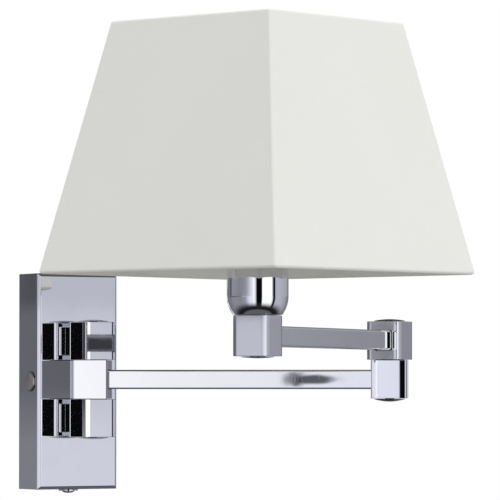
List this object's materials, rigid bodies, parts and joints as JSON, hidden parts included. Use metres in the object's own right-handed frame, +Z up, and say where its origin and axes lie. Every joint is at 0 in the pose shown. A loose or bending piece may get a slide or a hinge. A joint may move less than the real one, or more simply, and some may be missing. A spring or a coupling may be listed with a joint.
{
  "type": "swing arm wall sconce",
  "caption": "Wall sconce with a slim wall box, a knuckle hinge, folding square-tube arms, a screw-base lamp holder and a square tapered shade.",
  "frame": {"origin": "centre of the back of the wall box, on the wall plane", "axes": "+Z up, +Y out of the back into the wall, +X to the right seen from the front; the arms reach towards -Y"},
  "size_m": [0.3236, 0.4283, 0.3121],
  "materials": {
    "chrome": "mirror polished chrome plate",
    "zinc": "zinc plated steel",
    "brass": "plain turned and stamped brass",
    "nylon": "black moulded nylon",
    "porcelain": "glossy white moulding",
    "white_wire": "white coated steel wire",
    "cable": "satin plastic insulation",
    "shade": "fine off-white cloth on a stiff backing",
    "glass": "frosted bulb glass"
  },
  "bodies": {
    "wall_unit": {"wall_bracket": "zinc", "box_cover": "chrome", "side_screw_left": "chrome", "side_screw_right": "chrome", "stem_upper": "chrome", "stem_lower": "chrome", "stem_nipple": "brass", "stem_nut": "zinc", "stem_screw": "zinc", "knuckle_upper": "chrome", "knuckle_lower": "chrome", "hinge_pin": "zinc", "hinge_cap_top": "chrome", "hinge_cap_bottom": "chrome", "hinge_washer_upper": "nylon", "hinge_washer_lower": "nylon", "terminal_block": "porcelain", "terminal_screw_live": "brass", "terminal_screw_neutral": "brass", "earth_screw": "brass", "switch_body": "nylon", "switch_collar": "chrome", "box_cable": "cable", "switch_wire_a": "cable", "switch_wire_b": "cable"},
    "switch_plunger": {"switch_button": "chrome"},
    "lower_arm": {"knuckle_middle": "chrome", "lower_arm_tube": "chrome", "elbow_block_lower": "chrome", "elbow_pin": "zinc", "elbow_cap_top": "chrome", "elbow_cap_bottom": "chrome", "elbow_washer": "nylon", "lower_arm_cable": "cable"},
    "upper_arm": {"elbow_block_upper": "chrome", "upper_arm_tube": "chrome", "lamp_block": "chrome", "upper_arm_cable": "cable"},
    "lamp_head": {"lamp_nipple": "zinc", "lamp_cap": "chrome", "lamp_washer": "nylon", "holder_cup": "chrome", "holder_nut": "zinc", "socket_body": "porcelain", "socket_shell": "brass", "socket_contact": "brass", "shade_ring_lower": "porcelain", "shade_ring_upper": "porcelain", "shade_frame_bottom": "white_wire", "shade_frame_top": "white_wire", "shade_skin": "shade", "bulb_cap": "brass", "bulb_glass": "glass"}
  },
  "joints": [
    {"name": "wall_swing", "type": "hinge", "parent": "wall_unit", "child": "lower_arm", "pos_m": [0, -0.052, 0.0013], "axis": [0, 0, 1], "range_deg": [-144, 36]},
    {"name": "elbow", "type": "hinge", "parent": "lower_arm", "child": "upper_arm", "pos_m": [0.16909, -0.17485, 0.0149], "axis": [0, 0, 1], "range_deg": [-11, 229]},
    {"name": "lamp_swivel", "type": "hinge", "parent": "upper_arm", "child": "lamp_head", "pos_m": [-0.0099, -0.30017, 0.0285], "axis": [0, 0, 1], "range_deg": [-170, 170]},
    {"name": "switch_press", "type": "slide", "parent": "wall_unit", "child": "switch_plunger", "axis": [0, 0, 1], "range_m": [0, 0.0015], "stiffness_N_per_m": 300, "springref_m": -0.003}
  ]
}
